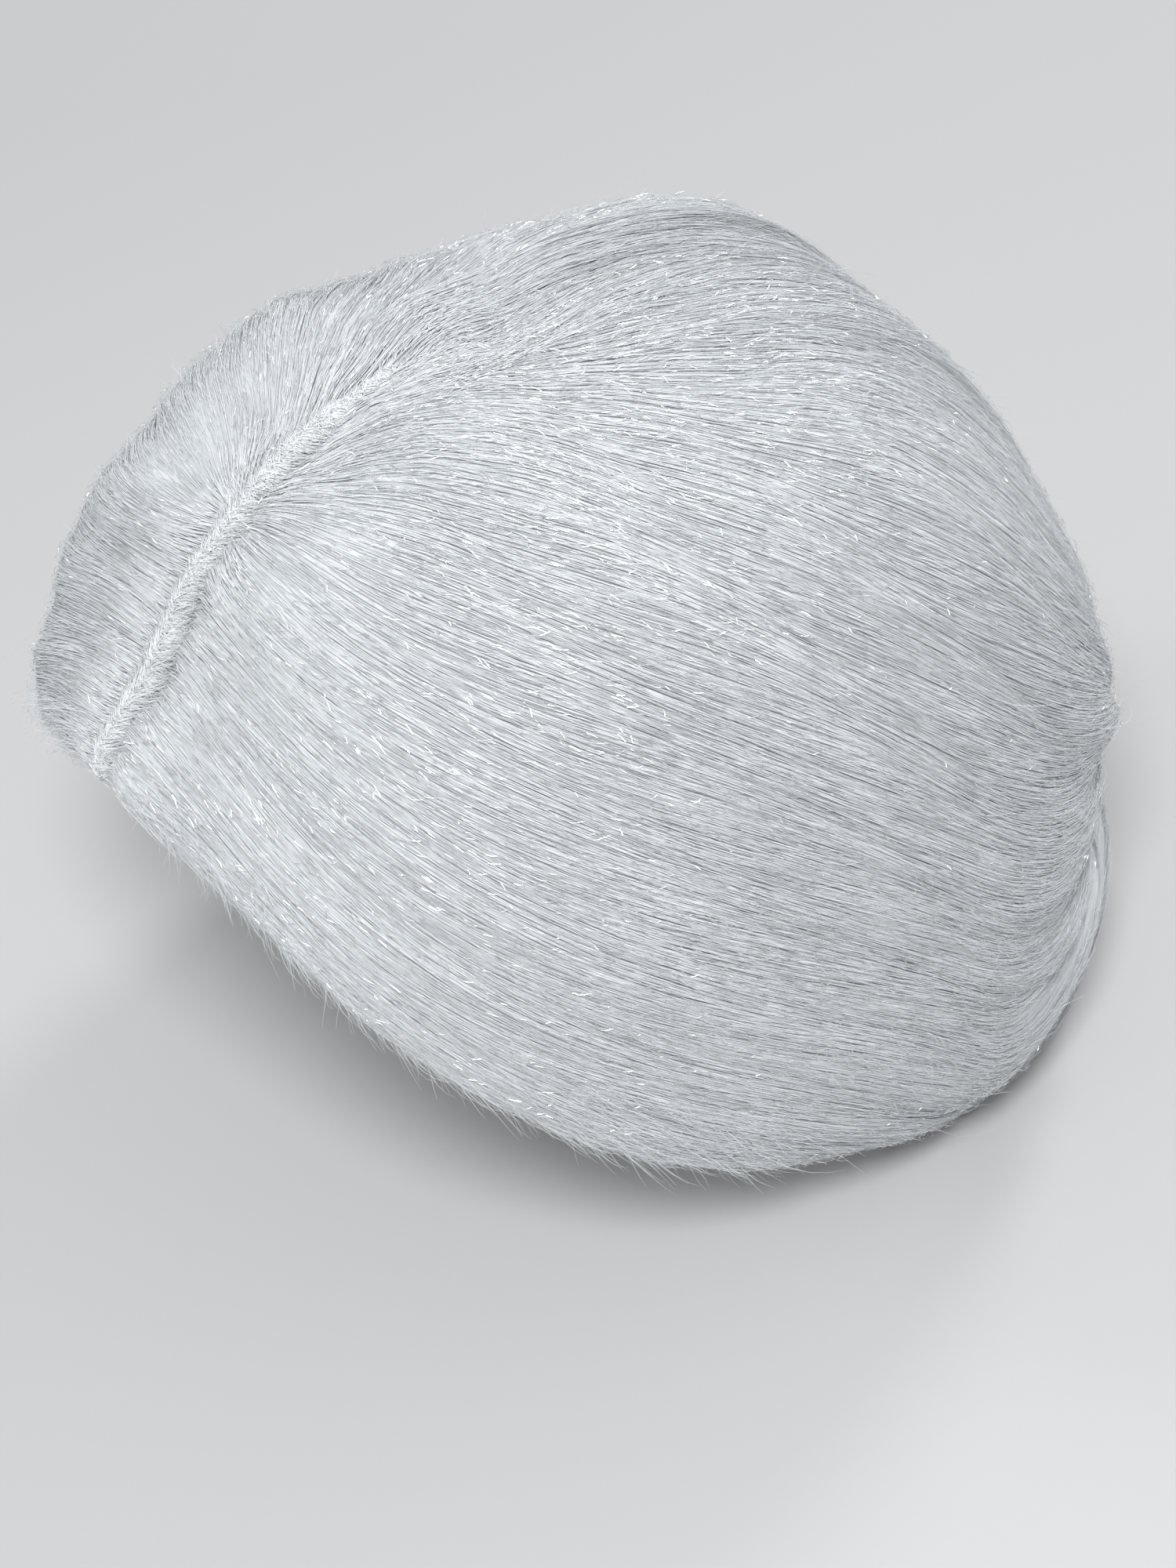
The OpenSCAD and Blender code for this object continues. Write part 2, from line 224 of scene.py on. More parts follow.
def waves(x, y, terms, seed):
    """A smooth pseudo-random field: a sum of sines, short along x and long along y.

    Each term is its rate along x, its rate along y and its height."""
    rng = np.random.default_rng(seed)
    total = np.zeros(np.broadcast(x, y).shape)
    for rate, stretch, size in terms:
        turn, lean = rng.uniform(0, 2 * np.pi, 2)
        total = total + size * np.sin(x * rate + turn + 1.3 * np.sin(y * stretch + lean))
    return total


FOLD_H = 1.5
DIMPLE_A, DIMPLE_DEPTH = 143.0, 3.5
VALLEY_DEPTH, VALLEY_HALF = 1.3, 9.0
LOCK_TERMS = ((0.33, 0.021, 1.0), (0.81, 0.035, 0.5), (1.9, 0.06, 0.2), (4.1, 0.11, 0.06))


def seam_shows(q):
    """1 over the forehead, where the seam lies bare, down to 0 at the crown, where hair covers it."""
    return smooth((-q[..., 1] - 0.22) / 0.3)


def relief(q, a, level):
    """Height of the locks, folds and valleys over the plain pile surface."""
    streak = np.where(level <= CREASE, flow_level(q), -(level - CREASE) * 1.3)
    along = a + 0.4 * level
    near_notch = bump(np.abs(a), 140, 34) * bump(level, CREASE, 24)
    sides = waves(streak, along, LOCK_TERMS, 5) + near_notch * FOLD_H * np.sin(streak * 0.55 + 0.8)
    middle = np.where(level <= CREASE, down_share(q) * smooth(q[..., 1] * 4),
                      smooth((np.abs(a) - 154) / 24))
    height = sides * (1 - middle) + waves(q[..., 0] * 59, level, LOCK_TERMS, 6) * middle
    height = height - DIMPLE_DEPTH * bump(np.abs(a), DIMPLE_A, 8) * bump(level, CREASE, 7)
    seam_side = np.exp(-(np.abs(q[..., 0]) * HAIR["w"] / VALLEY_HALF) ** 2) * seam_shows(q)
    return height - VALLEY_DEPTH * seam_side


CORNER_FLAT = 3.5
FRONT_PUFF = 5.0
SHOULDER_FLAT = 7.5
BACK_PUFF = 4.5


def loft(q, a, level, far_side):
    """How the brushed pile departs from the plain shape: flatter at the back corner on both sides,
    and on the far side a puff of front locks, a flat shoulder and a fuller back."""
    side = np.abs(a)
    height = -CORNER_FLAT * bump(side, 150, 22) * bump(level, 62, 15)
    far = 1.0 if far_side else smooth(-q[..., 0] * 1e3)
    puff = FRONT_PUFF * bump(side, 36, 24) * bump(level, 80, 20)
    shoulder = -SHOULDER_FLAT * bump(side, 114, 36) * bump(level, 36, 20)
    full_back = BACK_PUFF * bump(side, 166, 14) * bump(level, 38, 16)
    return height + far * smooth(np.abs(q[..., 0]) * 5) * (puff + shoulder + full_back)


HANG = 6.0
PEAK = 10.0


def hem_form(p, a, th):
    """Pile past the cloth edge: it hangs below the hem at the sides and juts out over the brow."""
    share = th / hem(a)
    side = np.abs((a + 180) % 360 - 180)
    p = p.copy()
    p[..., 2] -= HANG * bump(side, 96, 34) * smooth((share - 0.8) / 0.2)
    jut = PEAK * bump(side, 0, 15) * smooth((share - 0.72) / 0.28) ** 1.5
    p[..., 1] -= jut
    p[..., 2] = np.maximum(p[..., 2] + jut * 0.5, REST_Z)
    return p


def cap_point(q, height, far_side, gap=True):
    """Point over the pile surface, from its place on the ball.

    With gap, the points stand clear of the centre seam. far_side mirrors them to -X."""
    a, level = ball_angles(q)
    th = np.minimum(cap_angle(a, level), hem(a) + 0.8)
    r = pile_r(a, th) + relief(q, a, level) + loft(q, a, level, far_side) + height
    p = hem_form(CENTRE + aim(a, th) * r[..., None], a, th)
    if gap:
        p = seam_shift(p)
    if far_side:
        p = p * np.array([-1.0, 1, 1])
    return p


# ---- mesh helpers ----
def put(name, verts, faces, material, body="cap", smooth_shade=True):
    """Makes a mesh object from points in millimetres. Each group in faces has faces of one size."""
    me = bpy.data.meshes.new(name)
    verts = np.asarray(verts, float).reshape(-1, 3) * MM
    me.vertices.add(len(verts))
    me.vertices.foreach_set("co", verts.ravel())
    groups = [np.asarray(f, np.int32) for f in faces if len(f)]
    corners = np.concatenate([f.ravel() for f in groups])
    starts, at = [], 0
    for f in groups:
        starts.append(at + np.arange(len(f)) * f.shape[1])
        at += f.size
    me.loops.add(len(corners))
    me.loops.foreach_set("vertex_index", corners)
    starts = np.concatenate(starts).astype(np.int32)
    me.polygons.add(len(starts))
    me.polygons.foreach_set("loop_start", starts)
    me.polygons.foreach_set("use_smooth", np.full(len(starts), smooth_shade))
    me.update(calc_edges=True)
    me.validate()
    ob = bpy.data.objects.new(name, me)
    bpy.context.collection.objects.link(ob)
    me.materials.append(material)
    if body:
        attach(ob, body)
    return ob


def value_on(ob, name, values):
    ob.data.attributes.new(name, "FLOAT", "POINT").data.foreach_set(
        "value", np.ascontiguousarray(values, np.float32).ravel())


REST_CLEAR = 0.2


def tubes(name, paths, out, widths, tones, material, sides=3, flat=1.0, spin=0.15,
          smooth_shade=True):
    """Closed tapered fibres, one along each path of (fibres, points, 3). flat below 1 is a ribbon."""
    count, n = paths.shape[:2]
    paths = paths.copy()
    paths[..., 2] = np.maximum(paths[..., 2], REST_Z + REST_CLEAR)
    along = unit(np.gradient(paths, axis=1))
    side = unit(np.cross(along, out))
    up = np.cross(side, along)
    rng = np.random.default_rng(len(name) + count)
    if flat == 1.0:
        turn = rng.uniform(0, 2 * np.pi, (count, 1))
    else:
        turn = np.zeros((count, 1))
        roll = rng.normal(0, spin, (count, 1))[..., None]
        cos, sin = np.cos(roll), np.sin(roll)
        side, up = side * cos + up * sin, up * cos - side * sin
    rings = []
    for j in range(sides):
        angle = turn + 2 * np.pi * j / sides
        ring = up * (np.cos(angle) * flat)[..., None] + side * np.sin(angle)[..., None]
        rings.append(paths + ring * widths[..., None])
    verts = np.stack(rings, 2)
    start = (np.arange(count) * n * sides)[:, None, None]
    k = np.arange(n - 1)[None, :, None] * sides
    j = np.arange(sides)[None, None, :]
    j2 = (j + 1) % sides
    near, far = start + k, start + k + sides
    quads = np.stack([near + j, near + j2, far + j2, far + j], -1)
    first = start[:, 0] + np.arange(sides - 1, -1, -1)[None]
    last = start[:, 0] + (n - 1) * sides + np.arange(sides)[None]
    ob = put(name, verts, [quads.reshape(-1, 4), np.concatenate([first, last])], material,
             smooth_shade=smooth_shade)
    lines = tones[:, None, None] + rng.normal(0, 0.05, (count, 1, sides))
    value_on(ob, "tone", np.broadcast_to(lines, (count, n, sides)))
    value_on(ob, "along", np.tile(np.repeat(np.linspace(0, 1, n), sides), count))
    return ob


def grid_faces(rows, cols, base=0, closed=False, flip=False):
    """Quads over a grid of points whose numbers start at base. closed joins the last column on."""
    row = base + np.arange(rows - 1)[:, None] * cols
    j = np.arange(cols if closed else cols - 1)[None]
    j2 = (j + 1) % cols
    quads = np.stack([row + j, row + j2, row + cols + j2, row + cols + j], -1).reshape(-1, 4)
    return quads[:, ::-1] if flip else quads


def shell(name, outer, inner, material):
    """Closed sheet between two grids of points with the same rows and columns."""
    rows, cols = outer.shape[:2]
    n = rows * cols
    top = np.arange(cols - 1)
    low = (rows - 1) * cols + top
    left = np.arange(rows - 1) * cols
    right = left + cols - 1
    rims = np.concatenate([
        np.stack([top, n + top, n + top + 1, top + 1], -1),
        np.stack([low, low + 1, n + low + 1, n + low], -1),
        np.stack([left, left + cols, n + left + cols, n + left], -1),
        np.stack([right, n + right, n + right + cols, right + cols], -1)])
    faces = np.concatenate([grid_faces(rows, cols), grid_faces(rows, cols, n, flip=True), rims])
    verts = np.concatenate([outer.reshape(-1, 3), inner.reshape(-1, 3)])
    return put(name, verts, [faces], material)


# ---- materials ----
def node_tools(mat):
    """The material's node tree, and a function that adds a node to it with settings or values."""
    nt = mat.node_tree

    def add(kind, **settings):
        node = nt.nodes.new(kind)
        for key, value in settings.items():
            if key in node.inputs:
                node.inputs[key].default_value = value
            else:
                setattr(node, key, value)
        return node

    return nt, add


def new_material(name, **shader):
    mat = bpy.data.materials.new(name)
    mat.use_nodes = True
    bsdf = mat.node_tree.nodes["Principled BSDF"]
    for key, value in shader.items():
        bsdf.inputs[key.replace("_", " ")].default_value = value
    return mat, bsdf


def fibre_material(name, dark, light, roughness, **shader):
    """Pile fibre: its own lightness, painted shade near the root, and fine variation along it."""
    mat, bsdf = new_material(name, **shader)
    nt, add = node_tools(mat)
    tone = add("ShaderNodeAttribute", attribute_name="tone")
    along = add("ShaderNodeAttribute", attribute_name="along")
    # painted shade: the colour darkens towards each fibre's root, where the pile around it shades it
    root = add("ShaderNodeMapRange")
    root.inputs["From Max"].default_value = 0.35
    root.inputs["To Min"].default_value = 0.93
    nt.links.new(along.outputs["Fac"], root.inputs["Value"])
    place = add("ShaderNodeTexCoord")
    noise = add("ShaderNodeTexNoise", Scale=900.0, Detail=2.0)
    nt.links.new(place.outputs["Object"], noise.inputs["Vector"])
    speck = add("ShaderNodeMapRange")
    speck.inputs["To Min"].default_value = 0.9
    speck.inputs["To Max"].default_value = 1.06
    nt.links.new(noise.outputs["Fac"], speck.inputs["Value"])
    shade = add("ShaderNodeMath", operation="MULTIPLY")
    nt.links.new(tone.outputs["Fac"], shade.inputs[0])
    nt.links.new(root.outputs["Result"], shade.inputs[1])
    both = add("ShaderNodeMath", operation="MULTIPLY")
    nt.links.new(shade.outputs[0], both.inputs[0])
    nt.links.new(speck.outputs["Result"], both.inputs[1])
    ramp = add("ShaderNodeMix", data_type="RGBA")
    ramp.inputs["A"].default_value = dark
    ramp.inputs["B"].default_value = light
    nt.links.new(both.outputs[0], ramp.inputs["Factor"])
    nt.links.new(ramp.outputs["Result"], bsdf.inputs["Base Color"])
    rough = add("ShaderNodeMapRange")
    rough.inputs["To Min"].default_value = roughness - 0.06
    rough.inputs["To Max"].default_value = roughness + 0.08
    nt.links.new(noise.outputs["Fac"], rough.inputs["Value"])
    nt.links.new(rough.outputs["Result"], bsdf.inputs["Roughness"])
    return mat


def underpile_material():
    """The dense pile under the fibres: fine streaks along the same flow."""
    mat, bsdf = new_material("underpile", Roughness=0.75, Sheen_Weight=0.3, Specular_IOR_Level=0.25)
    nt, add = node_tools(mat)
    streak = add("ShaderNodeAttribute", attribute_name="streak")
    along = add("ShaderNodeAttribute", attribute_name="along")
    vector = add("ShaderNodeCombineXYZ")
    nt.links.new(streak.outputs["Fac"], vector.inputs["X"])
    nt.links.new(along.outputs["Fac"], vector.inputs["Y"])
    noise = add("ShaderNodeTexNoise", Scale=1.0, Detail=6.0, Roughness=0.65)
    nt.links.new(vector.outputs[0], noise.inputs["Vector"])
    mix = add("ShaderNodeMix", data_type="RGBA")
    mix.inputs["A"].default_value = (0.74, 0.77, 0.79, 1)
    mix.inputs["B"].default_value = (0.90, 0.915, 0.925, 1)
    nt.links.new(noise.outputs["Fac"], mix.inputs["Factor"])
    nt.links.new(mix.outputs["Result"], bsdf.inputs["Base Color"])
    bump_node = add("ShaderNodeBump", Strength=0.6, Distance=0.0008)
    nt.links.new(noise.outputs["Fac"], bump_node.inputs["Height"])
    nt.links.new(bump_node.outputs["Normal"], bsdf.inputs["Normal"])
    return mat


WAVE_BANDS = 3.2  # bands in a metre from a wave texture of scale 1, about


def cloth_material(name, dark, light, threads_per_mm, roughness=0.8, rib=0.0, **shader):
    """Woven or knitted cloth: crossing threads from two waves, with a mottled colour."""
    mat, bsdf = new_material(name, Roughness=roughness, **shader)
    nt, add = node_tools(mat)
    place = add("ShaderNodeTexCoord")
    scale = threads_per_mm * 1000 / WAVE_BANDS
    warp = add("ShaderNodeTexWave", Scale=scale, Distortion=0.6, Detail=1.0,
               bands_direction="DIAGONAL")
    weft = add("ShaderNodeTexWave", Scale=scale * (1 + rib), Distortion=0.6, Detail=1.0,
               bands_direction="Z")
    mottle = add("ShaderNodeTexNoise", Scale=60.0, Detail=5.0)
    for node in (warp, weft, mottle):
        nt.links.new(place.outputs["Object"], node.inputs["Vector"])
    thread = add("ShaderNodeMath", operation="MULTIPLY")
    nt.links.new(warp.outputs["Fac"], thread.inputs[0])
    nt.links.new(weft.outputs["Fac"], thread.inputs[1])
    blend = add("ShaderNodeMath", operation="MULTIPLY_ADD")
    blend.inputs[1].default_value = 0.5
    nt.links.new(thread.outputs[0], blend.inputs[0])
    nt.links.new(mottle.outputs["Fac"], blend.inputs[2])
    mix = add("ShaderNodeMix", data_type="RGBA", clamp_factor=True)
    mix.inputs["A"].default_value = dark
    mix.inputs["B"].default_value = light
    nt.links.new(blend.outputs[0], mix.inputs["Factor"])
    nt.links.new(mix.outputs["Result"], bsdf.inputs["Base Color"])
    bump_node = add("ShaderNodeBump", Strength=0.6, Distance=0.0003)
    nt.links.new(thread.outputs[0], bump_node.inputs["Height"])
    nt.links.new(bump_node.outputs["Normal"], bsdf.inputs["Normal"])
    return mat


def metal_material():
    """Plated metal with a faint mottle."""
    mat, bsdf = new_material("nickel", Metallic=1.0, Roughness=0.28)
    nt, add = node_tools(mat)
    place = add("ShaderNodeTexCoord")
    noise = add("ShaderNodeTexNoise", Scale=700.0, Detail=6.0)
    nt.links.new(place.outputs["Object"], noise.inputs["Vector"])
    mix = add("ShaderNodeMix", data_type="RGBA")
    mix.inputs["A"].default_value = (0.50, 0.50, 0.51, 1)
    mix.inputs["B"].default_value = (0.78, 0.78, 0.80, 1)
    nt.links.new(noise.outputs["Fac"], mix.inputs["Factor"])
    nt.links.new(mix.outputs["Result"], bsdf.inputs["Base Color"])
    rough = add("ShaderNodeMapRange")
    rough.inputs["To Min"].default_value = 0.2
    rough.inputs["To Max"].default_value = 0.42
    nt.links.new(noise.outputs["Fac"], rough.inputs["Value"])
    nt.links.new(rough.outputs["Result"], bsdf.inputs["Roughness"])
    return mat


PILE = fibre_material("pile_fibre", (0.57, 0.605, 0.63, 1), (0.905, 0.93, 0.945, 1), 0.48,
                      Specular_IOR_Level=0.35, Sheen_Weight=0.2)
SEAM = fibre_material("seam_fibre", (0.66, 0.69, 0.71, 1), (0.95, 0.96, 0.97, 1), 0.5,
                      Specular_IOR_Level=0.35)
GLINT = fibre_material("glint_fibre", (0.8, 0.8, 0.82, 1), (1, 1, 1, 1), 0.26, Metallic=1.0)
UNDER = underpile_material()
CLOTH = {
    "ground": cloth_material("ground_knit", (0.60, 0.60, 0.56, 1), (0.80, 0.80, 0.76, 1), 1.2, 0.9),
    "lining": cloth_material("lining_weave", (0.72, 0.69, 0.62, 1), (0.88, 0.86, 0.80, 1), 2.6, 0.55,
                             Sheen_Weight=0.3),
    "tape": cloth_material("tape_twill", (0.74, 0.73, 0.68, 1), (0.90, 0.89, 0.85, 1), 1.8, 0.75),
    "casing": cloth_material("casing_cotton", (0.74, 0.73, 0.70, 1), (0.90, 0.89, 0.86, 1), 2.2, 0.8),
    "elastic": cloth_material("elastic_rib", (0.70, 0.70, 0.70, 1), (0.94, 0.94, 0.94, 1), 1.0, 0.7,
                              rib=0.6),
}
NICKEL = metal_material()


# ---- the pile bodies under the fibres ----
UNDER_DEPTH = 1.2
NAPE_FROM, NAPE_TO = 106, 254


def panel_grid(a, f, layer, far_side=False):
    """Grid of a main panel: f runs from the crown to the hem or crease.

    layer is the height over the head, or None for the pile's own outside."""
    aa, ff = np.meshgrid(a, f)
    th = main_end(aa) * ff
    if layer is not None:
        return seam_shift(CENTRE + aim(aa, th) * (head_r(aa, th) + layer)[..., None])
    level = ball_level(aa, th)
    q = aim(aa, level)
    puff = (relief(q, aa, level) + loft(q, aa, level, far_side)) * smooth((hem(aa) - th) / 8)
    r = np.maximum(pile_r(aa, th) + puff - UNDER_DEPTH, head_r(aa, th) + PILE_IN + 1)
    return seam_shift(hem_form(CENTRE + aim(aa, th) * r[..., None], aa, th))


def nape_grid(a, f, layer):
    """The same for the nape panel: f runs from the crease to the hem."""
    aa, ff = np.meshgrid(a, f)
    top = main_end(aa) + PANEL_GAP
    th = top + (hem(aa) - top) * ff
    if layer is not None:
        return CENTRE + aim(aa, th) * (head_r(aa, th) + layer)[..., None]
    level = CREASE + NAPE_SPAN * ff
    q = aim(aa, level)
    puff = relief(q, ball_angles(q)[0], level) * smooth((hem(aa) - th) / 8)
    r = pile_r(aa, th) + puff - UNDER_DEPTH * 0.6
    r = np.maximum(r, head_r(aa, th) + PILE_IN + 1)
    return hem_form(CENTRE + aim(aa, th) * r[..., None], aa, th)


SIDE_A = np.linspace(0, 180, 145)
SIDE_F = np.concatenate([np.linspace(0.004, 0.86, 76), np.linspace(0.87, 1, 22)])
NAPE_A = np.linspace(NAPE_FROM, NAPE_TO, 149)
NAPE_F = np.linspace(0, 1, 30)
STREAK_RATE, ALONG_RATE = 2.6, 0.16


def pile_bodies():
    """One closed body for each fur panel, with the flow's streaks for its material."""
    inner = panel_grid(SIDE_A, SIDE_F, PILE_IN)
    aa, ff = np.meshgrid(SIDE_A, SIDE_F)
    level = ball_level(aa, main_end(aa) * ff)
    streak, along = flow_level(aim(aa, level)) * STREAK_RATE, aa * ALONG_RATE
    for side, flip in SIDES:
        turn = np.array([flip, 1, 1])
        one = panel_grid(SIDE_A, SIDE_F, None, flip < 0) * turn
        two = inner * turn
        if flip < 0:
            one, two = one[:, ::-1], two[:, ::-1]
        body = shell(f"{side}_pile_body", one, two, UNDER)
        order = slice(None, None, flip)
        value_on(body, "streak", np.concatenate([streak[:, order].ravel()] * 2))
        value_on(body, "along", np.concatenate([along[:, order].ravel()] * 2))
        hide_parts(f"{side}_fur_panel")
    outer, inner = nape_grid(NAPE_A, NAPE_F, None), nape_grid(NAPE_A, NAPE_F, PILE_IN)
    body = shell("nape_pile_body", outer, inner, UNDER)
    aa, ff = np.meshgrid(NAPE_A, NAPE_F)
    value_on(body, "streak", np.concatenate([(-ff * 60).ravel()] * 2))
    value_on(body, "along", np.concatenate([(aa * ALONG_RATE).ravel()] * 2))
    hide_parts("nape_fur_panel")


pile_bodies()


# ---- the fibres ----
def trace(q, flow, steps, step_mm):
    """Follows the flow from each root: places on the ball, one more than steps."""
    probe = 0.01
    places = [q]
    for _ in range(steps):
        ahead = flow(q)
        reach = np.linalg.norm(cap_point(unit(q + ahead * probe), 0.0, False)
                               - cap_point(q, 0.0, False), axis=-1)
        size = step_mm * probe / np.maximum(reach, 0.2)
        q = unit(q + ahead * np.minimum(size, 0.2)[..., None])
        places.append(q)
    return np.stack(places, 1)


def grow(rng, q, flow, length, rise, far_side, points=8, lift=1.2, wave=0.4, curl=0.0, over=0.0,
         gap=True, drift=0.5, emerge=0.3):
    """Centre lines of fibres: up out of the pile at the root, then along its surface.

    rise and emerge are how deep the root is and the share of the length spent climbing out. lift,
    curl, wave and drift are how far a strand stands off, curls, waves and strays."""
    count = len(q)
    places = trace(q, flow, points - 1, length / (points - 1))
    u = np.linspace(0, 1, points)[None]
    a, level = ball_angles(places)
    top = rng.uniform(-0.45, 0.15, (count, 1)) + over
    height = top - rise * (1 - smooth(u / emerge)) + lift * rng.uniform(0, 1, (count, 1)) ** 4 * u ** 2
    if flow is main_flow:
        tuck = smooth((level - 90) / 8) * smooth((np.abs(a) - 118) / 14) * (level <= CREASE + 2)
        height = height - 0.8 * tuck
    base = cap_point(places, height, far_side, gap=gap)
    out = unit(base - CENTRE)
    side = unit(np.cross(np.gradient(base, axis=1), out))
    streak = flow_level(places[:, :1]) if flow is main_flow else level[:, :1] * 1.3
    clump = np.sin(streak * 2.3 + 2 * np.sin(a[:, :1] * 0.11)) * 0.35 + np.sin(streak * 5.1) * 0.12
    phase = streak * 0.9 + rng.normal(0, 0.5, (count, 1))
    wavy = wave * np.sin(phase + u * length[:, None] / 9.0) * smooth(u * 3)
    stray = rng.normal(0, drift, (count, 1)) * u ** 1.5
    shift = clump * smooth(u) + wavy + stray
    path = base + side * shift[..., None]
    if curl:
        bend = rng.uniform(0, 2 * np.pi, (count, 1)) + u * rng.uniform(2, 6, (count, 1))
        size = curl * rng.uniform(0.3, 1, (count, 1)) * u ** 1.5
        turned = side * np.cos(bend)[..., None] + out * (0.4 + np.sin(bend))[..., None]
        path = path + turned * size[..., None]
    return path, out


TIP, ROOT = 0.25, 0.7


def taper(widths, points):
    """Widths along each fibre: ROOT of the full width at the root, TIP of it at the tip."""
    u = np.linspace(0, 1, points)[None]
    thin_end = 1 - (1 - TIP) * smooth((u - 0.45) / 0.55)
    return widths[:, None] * thin_end * (ROOT + (1 - ROOT) * smooth(u * 6))


def main_roots(rng, count):
    """Roots spread evenly over a main panel."""
    a = rng.uniform(0, 180, count * 3)
    th = np.degrees(np.arccos(rng.uniform(-0.62, 1, count * 3)))
    keep = th < main_end(a) - 0.2
    a, th = a[keep][:count], th[keep][:count]
    return aim(a, ball_level(a, th))


def midline_roots(rng, count, front, behind, near, far):
    """Roots beside the middle plane, from an angle in front to one behind."""
    run = np.radians(rng.uniform(-front, behind, count))
    return unit(np.stack([rng.uniform(near, far, count), np.sin(run), np.cos(run)], -1))


def nape_roots(rng, count):
    """Roots over the nape panel, and a little above its crease to cover the join."""
    a = rng.uniform(107, 180, count) * rng.choice([-1.0, 1.0], count)
    return aim(a, CREASE + NAPE_SPAN * rng.uniform(-0.07, 1, count))


def tone_of(rng, q, flow):
    """Lightness of each fibre, in streaks along the flow, with a rare dark one."""
    streak = ball_angles(q)[1] * 1.4 if flow is nape_flow else flow_level(q)
    tone = 0.88 + 0.04 * np.sin(streak * 1.7) * np.sin(streak * 0.37) + rng.normal(0, 0.05, len(q))
    tone = np.where(rng.uniform(0, 1, len(q)) < 0.004, 0.35, tone)
    return np.clip(tone, 0.2, 1.0)


PIECE = 4200
GLINT_PIECE = 12000
PILE_COUNT = {"left": 21000, "right": 16000}
SEAM_LOCKS = 4100
CROWN_LOCKS = 4000
NAPE_LOCKS = 12600
GLINT_COUNT = {"left": 31000, "right": 18000}
ROOT_DEPTH = 3.6
FIBRE_W = 0.135
RIBBON = 0.18


def locks(name, rng, q, flow, length, far=False, **shape):
    """Pile fibres from roots q, as pieces of at most PIECE fibres each, in order along the head."""
    points = 7
    order = np.argsort(ball_angles(q)[0] if flow is nape_flow else flow_level(q))
    q, length = q[order], length[order]
    path, out = grow(rng, q, flow, length, ROOT_DEPTH, far, points=points, **shape)
    tones = tone_of(rng, q, flow)
    width = taper(FIBRE_W * rng.uniform(0.7, 1.3, len(q)), points)
    for n, at in enumerate(range(0, len(q), PIECE), 1):
        part = slice(at, at + PIECE)
        tubes(f"{name}_{n}", path[part], out[part], width[part], tones[part], PILE, flat=RIBBON)


def crown_flow(q):
    """Straight back over the crown, where the pile covers the seam."""
    target = aim(180.0, CREASE + 4)
    return unit(target - q * np.sum(target * q, -1, keepdims=True))


def pile_fibres():
    """All the long pile. The left side, which the camera sees, has the most."""
    for side, count in PILE_COUNT.items():
        far = side == "right"
        rng = np.random.default_rng(SEED + far)
        q = main_roots(rng, count)
        locks(f"{side}_locks", rng, q, main_flow, rng.uniform(36, 64, len(q)), far)
        q = midline_roots(rng, SEAM_LOCKS, CREASE - 1, 88, 0.008, 0.08)
        locks(f"{side}_seam_locks", rng, q, main_flow, rng.uniform(12, 30, len(q)), far, gap=False,
              emerge=0.12)
    rng = np.random.default_rng(SEED + 7)
    q = midline_roots(rng, CROWN_LOCKS, 16, 84, -0.14, 0.14)
    locks("crown_locks", rng, q, crown_flow, rng.uniform(26, 58, len(q)), over=0.45, gap=False,
          drift=3.5)
    q = nape_roots(rng, NAPE_LOCKS)
    locks("nape_locks", rng, q, nape_flow, rng.uniform(15, 36, len(q)), gap=False, emerge=0.15)


def glints():
    """Short bright lengths of fibre lying on the pile, each turned about its own line."""
    for side, count in GLINT_COUNT.items():
        far = side == "right"
        rng = np.random.default_rng(SEED + 30 + far)
        q = main_roots(rng, count)
        path, out = grow(rng, q, main_flow, rng.uniform(0.7, 2.6, len(q)), 0.0, far, points=3,
                         lift=0, wave=0)
        tilt = rng.normal(0, 0.14, (len(q), 1)) * np.array([[-1.0, 0, 1.0]])
        path = path + out * (tilt + rng.uniform(0.5, 1.3, (len(q), 1)))[..., None]
        width = np.array([[0.5, 1.0, 0.5]]) * rng.uniform(0.045, 0.09, (len(q), 1))
        for n, at in enumerate(range(0, len(q), GLINT_PIECE), 1):
            part = slice(at, at + GLINT_PIECE)
            tones = np.full(len(q[part]), 0.95)
            tubes(f"{side}_glints_{n}", path[part], out[part], width[part], tones, GLINT, flat=0.12,
                  spin=0.65, smooth_shade=False)


# kind, count, shortest and longest, lift, curl
LOOSE = (("flyaways", 170, (14, 40), 8.0, 4.0),
         ("down", 2600, (5, 15), 3.6, 1.2),
         ("front_tufts", 1500, (7, 19), 6.5, 2.5))
LOOSE_W = 0.075


def flyaways():
    """Long loose hairs, the short down that softens the outline, and tufts at the front edge."""
    for side, far in (("left", False), ("right", True)):
        rng = np.random.default_rng(SEED + 50 + far)
        for kind, count, length, lift, curl in LOOSE:
            q = main_roots(rng, count)
            if kind == "front_tufts":
                q = aim(rng.uniform(3, 75, count), CREASE - 14 * rng.uniform(0, 1, count) ** 2)
            path, out = grow(rng, q, main_flow, rng.uniform(*length, count), 1.5, far, points=9,
                             lift=lift, curl=curl)
            width = taper(np.full(count, LOOSE_W), 9)
            tubes(f"{side}_{kind}", path, out, width, np.full(count, 0.9), PILE)


HEM_FUZZ = 6500


